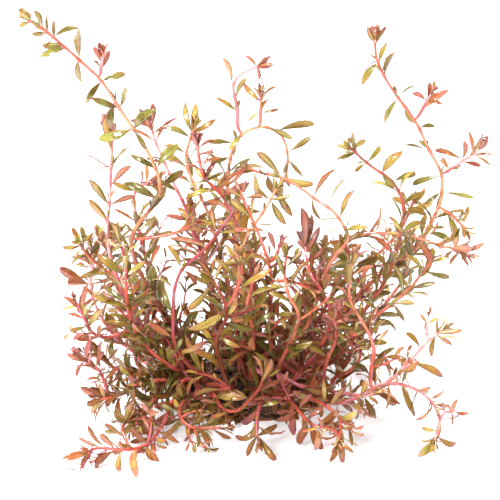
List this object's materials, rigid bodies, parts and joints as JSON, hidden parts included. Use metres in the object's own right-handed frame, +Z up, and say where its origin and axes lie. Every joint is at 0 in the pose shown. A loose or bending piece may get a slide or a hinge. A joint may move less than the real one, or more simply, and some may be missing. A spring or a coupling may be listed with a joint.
{
  "type": "aquarium stem plant clump",
  "caption": "Bushy clump of a red and olive aquarium stem plant: thin branching stems with small paired leaves rising from one tangled root mat.",
  "frame": {"origin": "middle of the root mat's flat underside, on which the clump stands", "axes": "+Z up, away from the surface it stands on; +X to the right and +Y to the back, as seen from the side that the picture shows"},
  "size_m": [0.1668, 0.1333, 0.1554],
  "materials": {
    "salmon_shoot": "wet gloss on salmon orange stems, satin olive brown leaves with orange edges",
    "coral_shoot": "wet gloss on coral red stems, satin orange brown to red leaves",
    "olive_shoot": "wet gloss on orange stems, satin olive green leaves",
    "olive_brown_shoot": "wet gloss on orange stems, satin olive brown leaves",
    "yellow_olive_shoot": "wet gloss on pale orange stems, satin yellow olive leaves",
    "pink_shoot": "wet gloss on pink red stems, satin pink and brown leaves",
    "purple_shoot": "wet gloss on dull red stems, satin purple brown leaves",
    "root": "matt, dark brown, fibrous"
  },
  "bodies": {
    "root": {"arch_stem": "salmon_shoot", "back_low_stem_centre": "olive_shoot", "back_low_stem_left": "olive_brown_shoot", "back_low_stem_right": "purple_shoot", "back_stem_centre": "olive_shoot", "back_stem_far_left": "olive_shoot", "back_stem_far_right": "olive_shoot", "back_stem_left": "olive_brown_shoot", "back_stem_right": "yellow_olive_shoot", "branch_right_bright": "yellow_olive_shoot", "bright_red_side_shoot": "coral_shoot", "centre_bud": "purple_shoot", "centre_left_fork": "olive_brown_shoot", "centre_left_fork_branch": "olive_brown_shoot", "centre_stem": "coral_shoot", "coral_stem_front": "coral_shoot", "curved_stem_right": "salmon_shoot", "front_drop_shoot": "coral_shoot", "front_left_low_shoot": "olive_brown_shoot", "front_red_shoot": "coral_shoot", "front_right_low_shoot": "purple_shoot", "front_right_stem": "coral_shoot", "left_low_stem": "coral_shoot", "left_red_arch": "coral_shoot", "left_stem_upper": "olive_shoot", "long_diagonal_stem": "salmon_shoot", "low_stem_far_left": "olive_brown_shoot", "low_stem_left": "olive_shoot", "low_stem_right": "olive_brown_shoot", "magenta_shoot_left": "pink_shoot", "magenta_stem": "pink_shoot", "middle_stem_front": "olive_brown_shoot", "middle_stem_front_right": "olive_shoot", "middle_stem_right": "olive_shoot", "olive_stem_centre": "yellow_olive_shoot", "orange_branch_left": "salmon_shoot", "orange_stem_right": "olive_brown_shoot", "pale_front_shoot": "purple_shoot", "pale_stem_centre": "yellow_olive_shoot", "pink_cluster_shoot": "pink_shoot", "pink_horizontal_stem": "pink_shoot", "pink_stem_left_centre": "purple_shoot", "pink_vertical_left": "pink_shoot", "purple_bud_stem": "purple_shoot", "purple_shoot_centre": "purple_shoot", "red_vertical_left": "olive_shoot", "right_diagonal_stem": "olive_shoot", "root_mat": "root", "runner_front_left": "coral_shoot", "runner_side_shoot": "olive_brown_shoot", "side_shoot_far_left_top": "purple_shoot", "side_shoot_right_middle": "pink_shoot", "side_shoot_right_top": "coral_shoot", "small_shoot_on_arch": "olive_brown_shoot", "tall_stem_left": "salmon_shoot", "tall_stem_right": "salmon_shoot", "thick_red_stem": "coral_shoot", "trailing_stem_right": "coral_shoot", "upright_branch_centre": "salmon_shoot", "upright_stem_left": "pink_shoot"}
  },
  "joints": []
}
